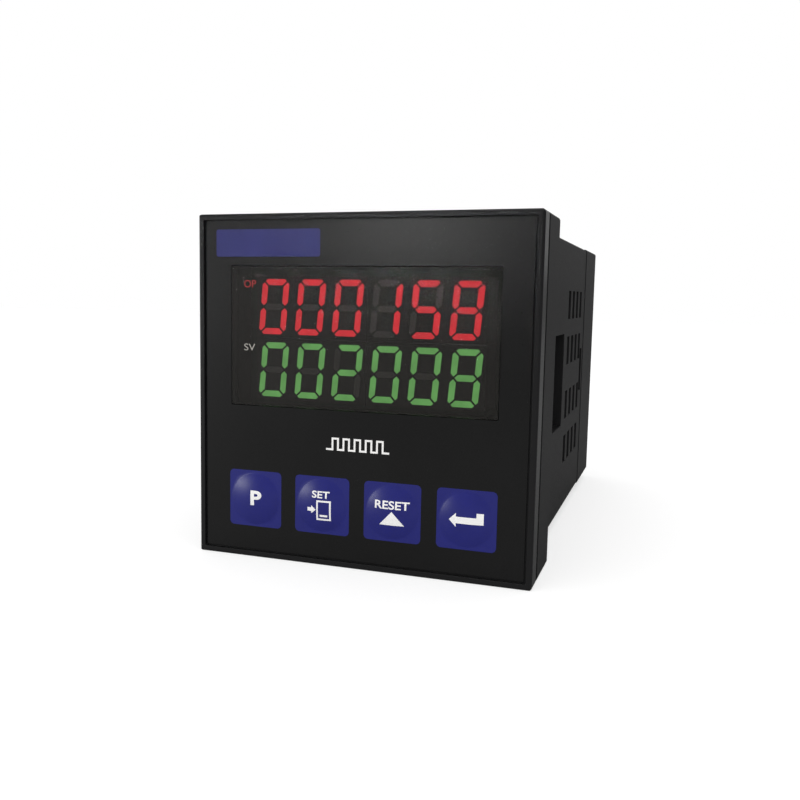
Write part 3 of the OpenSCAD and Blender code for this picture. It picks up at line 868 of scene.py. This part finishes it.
@dataclass
class DigitDisplay:
    """The window, the two rows of digits behind it and the row labels on it.

    Attributes:
        labels: Row labels, each a word and its ink.
    """

    labels: tuple[tuple[str, Word, Finish], ...] = (
        ("upper_row_label", Word("OP", -17.0, 14.0, 1.8, 1.0, weight=0.0), RED_INK),
        ("lower_row_label", Word("SV", -17.0, 5.3, 1.7, 0.95, weight=0.0), GREY_INK),
    )

    def on_window(self, x: float, z: float) -> Vector:
        """Give the place in the scene of a point of the window's print."""
        return Vector((x * MM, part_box("display_filter")[0].y - PRINT_LIFT * MM, z * MM))

    def build(self) -> None:
        """Dress the window, the blocks and the segments, and print the labels."""
        dress_nodes(SMOKED_SHEET, "display_filter")
        dress_nodes(DISPLAY_FACE, *(f"{row}_display_{half}" for row in ("upper", "lower")
                                    for half in ("left", "right")))
        dress_nodes(RED_SEGMENT, "upper_segments_lit")
        dress_nodes(GREEN_SEGMENT, "lower_segments_lit")
        dress_nodes(DARK_SEGMENT, "upper_segments_dark", "lower_segments_dark")
        for name, word, ink in self.labels:
            piece = Print(words=(word,)).piece(name, ink, self.on_window)
            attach(piece, UNIT)


@dataclass
class Housing:
    """The frame, the case, the rear cover and the gasket.

    Attributes:
        number_height: Height of the terminal numbers on the rear cover.
        number_width: Width of one figure.
        slim: Width of the figure one, as a share of that.
        figure_gap: Space between two figures, as a share of that.
        number_weight: Thickening of its strokes, as a share of its size.
        number_at: Distance of the numbers from the middle of the cover.
        ways: Terminals on each side.
        pitch: Spacing of the terminals.
    """

    number_height: float = 1.9
    number_width: float = 1.2
    slim: float = 0.28
    figure_gap: float = 0.34
    number_weight: float = 0.01
    number_at: float = 3.4
    ways: int = 6
    pitch: float = 6.0

    def on_rear(self, x: float, z: float) -> Vector:
        """Give the place in the scene of a point of the rear print, as seen from behind."""
        return Vector((-x * MM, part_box("rear_cover")[1].y + PRINT_LIFT * MM, z * MM))

    def terminal_numbers(self) -> Print:
        """Number the terminals from the top, the left row first, as seen from behind."""
        words = []
        for way in range(2 * self.ways):
            number = str(way + 1)
            figures = [self.slim if figure == "1" else 1.0 for figure in number]
            width = self.number_width * (sum(figures) + self.figure_gap * (len(figures) - 1))
            middle = -self.number_at if way < self.ways else self.number_at
            level = ((self.ways - 1) / 2 - way % self.ways) * self.pitch
            words.append(Word(number, middle - width / 2, level - self.number_height / 2, width,
                              self.number_height, self.number_weight))
        return Print(words=tuple(words))

    def build(self) -> None:
        """Dress the mouldings and number the terminals."""
        dress_nodes(SATIN_ABS, "front_frame")
        dress_nodes(SPARK_ABS, "case", "rear_cover")
        dress_nodes(GASKET_RUBBER, "panel_gasket")
        numbers = self.terminal_numbers().piece("terminal_numbers_print", GREY_INK, self.on_rear)
        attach(numbers, UNIT)


@dataclass
class Terminals:
    """The two terminal strips on the rear.

    Attributes:
        sides: Sides of the rear cover that have a strip.
    """

    sides: tuple[str, ...] = ("left", "right")

    def build(self) -> None:
        """Dress the strips, their contacts and their screws."""
        for side in self.sides:
            dress_nodes(FILLED_NYLON, f"terminal_strip_{side}")
            dress_nodes(MILLED_BRASS, f"terminal_contacts_{side}")
            dress_nodes(ZINC_STEEL, f"terminal_screws_{side}")


@dataclass
class Electronics:
    """The key switches and the boards with their components.

    Attributes:
        fittings: Each finish, with the nodes that have it.
    """

    fittings: tuple[tuple[Finish, tuple[str, ...]], ...] = (
        (BOARD_LACQUER, ("display_board", "power_board", "logic_board")),
        (FILLED_NYLON, ("power_header", "logic_header")),
        (FERRITE, ("transformer_core",)),
        (COIL_TAPE, ("transformer_coil",)),
        (CAPACITOR_SLEEVE, ("input_capacitor", "output_capacitor")),
        (CHIP_EPOXY, ("rectifier", "controller_chip")),
        (VARISTOR_COAT, ("varistor",)),
        (RELAY_PLASTIC, ("output_relay_upper", "output_relay_lower")),
        (WHITE_EPOXY, ("optocouplers",)),
        (NICKEL_CAN, ("crystal",)),
    )

    def build(self) -> None:
        """Dress every fitting."""
        for finish, nodes in self.fittings:
            dress_nodes(finish, *nodes)
        for key in KeyMark:
            dress_nodes(SWITCH_PLASTIC, f"{key.value}_stem", f"{key.value}_switch")


@dataclass(frozen=True)
class SoftBox:
    """A studio lamp behind a diffuser.

    Attributes:
        name: Name of the lamp.
        place: Where it stands, in metres.
        width: Width of the diffuser.
        height: Height of the diffuser.
        glow: Brightness of the diffuser, where a white card in full light is one.
        aim: Point that it faces.
        comb: Angle to which a honeycomb narrows the light, in degrees.
        bounces: How often its light is followed on from surface to surface.
    """

    name: str
    place: tuple[float, float, float]
    width: float
    height: float
    glow: float
    aim: tuple[float, float, float] = (0.0, 0.0, 0.0)
    comb: float = 180.0
    bounces: int = 1024

    def build(self) -> None:
        """Set up the lamp, with the power that gives its glow on the axis."""
        lamp = bpy.data.lights.new(self.name, "AREA")
        lamp.shape, lamp.size, lamp.size_y = "RECTANGLE", self.width, self.height
        lamp.spread = math.radians(self.comb)
        lamp.cycles.max_bounces = self.bounces
        narrow = 1 - lamp.spread / 2 / math.tan(lamp.spread / 2)
        lamp.energy = self.glow * math.pi * self.width * self.height * narrow
        stand = bpy.data.objects.new(self.name, lamp)
        stand.location = self.place
        beam = Vector(self.aim) - Vector(self.place)
        stand.rotation_euler = beam.to_track_quat("-Z", "Y").to_euler()
        bpy.context.scene.collection.objects.link(stand)


@dataclass
class Studio:
    """Floor, white surround, lamps and the camera at the photograph's place.

    Attributes:
        floor_side: Side of the floor.
        floor_cells: Facets along each side of the floor.
        floor_tone: sRGB hex colour of the floor.
        floor_mirrored: The same as reflections show it, darker for the reason given at mirrored.
        floor_roughness: Roughness of its paper.
        floor_specular: Specular level of its paper.
        floor_lift: Light added to the floor for the eye, so that it runs into the white surround.
        ambient: Brightness of the surround as light.
        mirrored: Brightness of the surround in reflections; lower than white, so that black plastic
            stays black at a grazing angle.
        lamps: The soft boxes, and a spot that lays a sheen on the top of the film.
        eye: Place of the camera.
        right: Its axis to the right.
        up: Its upward axis.
        lens: Focal length, in millimetres.
        sensor: Width of the sensor, in millimetres.
        shift: Shift of the frame, as a share of its width.
        clip: Nearest and farthest distance that the camera shows.
    """

    floor_side: float = 3.0
    floor_cells: int = 4
    floor_tone: str = "#b0b0b0"
    floor_mirrored: str = "#8c8c8c"
    floor_roughness: float = 0.9
    floor_specular: float = 0.1
    floor_lift: float = 0.6
    ambient: float = 0.97
    mirrored: float = 0.1
    lamps: tuple[SoftBox, ...] = (
        SoftBox("left_box", (-0.483, -0.435, 0.022), 0.26, 0.09, 7.4),
        SoftBox("top_spot", (-0.176, -0.604, 0.075), 0.09, 0.024, 260.0,
                (0.006, -0.0139, 0.026), comb=3.2, bounces=0),
        SoftBox("overhead_box", (0.0, -0.35, 0.8), 0.8, 0.8, 1.3),
        SoftBox("back_box", (0.14, 0.9, 0.28), 0.5, 0.5, 0.45),
    )
    eye: tuple[float, float, float] = (0.040678, -0.123648, 0.013008)
    right: tuple[float, float, float] = (0.939966, 0.340916, 0.015488)
    up: tuple[float, float, float] = (-0.053345, 0.101953, 0.993358)
    lens: float = 39.73
    sensor: float = 36.0
    shift: tuple[float, float] = (0.0433, -0.0028)
    clip: tuple[float, float] = (0.005, 10.0)

    def paper(self) -> bpy.types.Material:
        """Make the floor's paper: pale and matt, lifted towards white for the eye."""
        paper = bpy.data.materials.new("paper_floor_matt")
        paper.use_nodes = True
        tree = paper.node_tree
        shader = tree.nodes["Principled BSDF"]
        shader.inputs["Roughness"].default_value = self.floor_roughness
        shader.inputs["Specular IOR Level"].default_value = self.floor_specular
        shader.inputs["Emission Color"].default_value = WHITE
        rays = add_node(tree, "ShaderNodeLightPath")
        tone = add_node(
            tree, "ShaderNodeMix",
            {"data_type": "RGBA", MIX_FIRST: linear(self.floor_tone),
             MIX_SECOND: linear(self.floor_mirrored)},
            {MIX_FACTOR: rays.outputs["Is Glossy Ray"]},
        )
        tree.links.new(tone.outputs[MIX_RESULT], shader.inputs["Base Color"])
        lift = add_node(
            tree, "ShaderNodeMath", {"operation": "MULTIPLY", 1: self.floor_lift},
            {0: seen_by_eye(tree, rays)},
        )
        tree.links.new(lift.outputs["Value"], shader.inputs["Emission Strength"])
        return paper

    def floor(self) -> None:
        """Lay the floor under the lowest point of the counter."""
        cells = self.floor_cells
        shape = bmesh.new()
        bmesh.ops.create_grid(shape, x_segments=cells, y_segments=cells, size=self.floor_side / 2)
        bmesh.ops.translate(shape, verts=shape.verts, vec=(0, 0, CAD_BOX[0].z))
        mesh = bpy.data.meshes.new("studio_floor")
        shape.to_mesh(mesh)
        shape.free()
        mesh.materials.append(self.paper())
        floor = bpy.data.objects.new("studio_floor", mesh)
        bpy.context.scene.collection.objects.link(floor)

    def surround(self) -> None:
        """Set a white surround for the eye, and a softer one for light and reflections."""
        world = bpy.data.worlds.new("studio_surround")
        bpy.context.scene.world = world
        world.use_nodes = True
        tree = world.node_tree
        background = tree.nodes["Background"]
        background.inputs["Color"].default_value = WHITE
        rays = add_node(tree, "ShaderNodeLightPath")
        mirrored = add_node(
            tree, "ShaderNodeMapRange", {"To Min": self.ambient, "To Max": self.mirrored},
            {"Value": rays.outputs["Is Glossy Ray"]},
        )
        strength = add_node(
            tree, "ShaderNodeMapRange", {"To Max": 1.0},
            {"Value": seen_by_eye(tree, rays), "To Min": mirrored.outputs["Result"]},
        )
        tree.links.new(strength.outputs["Result"], background.inputs["Strength"])

    def camera(self) -> None:
        """Set up the camera where the photograph was taken."""
        right, up = Vector(self.right), Vector(self.up)
        data = bpy.data.cameras.new("photo_camera")
        data.lens, data.sensor_width = self.lens, self.sensor
        data.shift_x, data.shift_y = self.shift
        data.clip_start, data.clip_end = self.clip
        camera = bpy.data.objects.new("photo_camera", data)
        turn = Matrix((right, up, right.cross(up))).transposed()
        camera.matrix_world = Matrix.Translation(self.eye) @ turn.to_4x4()
        bpy.context.scene.collection.objects.link(camera)
        bpy.context.scene.camera = camera

    def build(self) -> None:
        """Set up floor, surround, lamps and camera."""
        bpy.context.scene.view_settings.view_transform = "Standard"
        self.floor()
        self.surround()
        for lamp in self.lamps:
            lamp.build()
        self.camera()


def main() -> None:
    """Build the counter's looks in order, then the studio."""
    logging.basicConfig(level=logging.INFO, format="%(message)s")
    for assembly in (Housing(), FrontFilm(), DigitDisplay(), Terminals(), Electronics(), Studio()):
        assembly.build()
        log.info("finished %s", type(assembly).__name__)


if __name__ == "__main__":
    main()
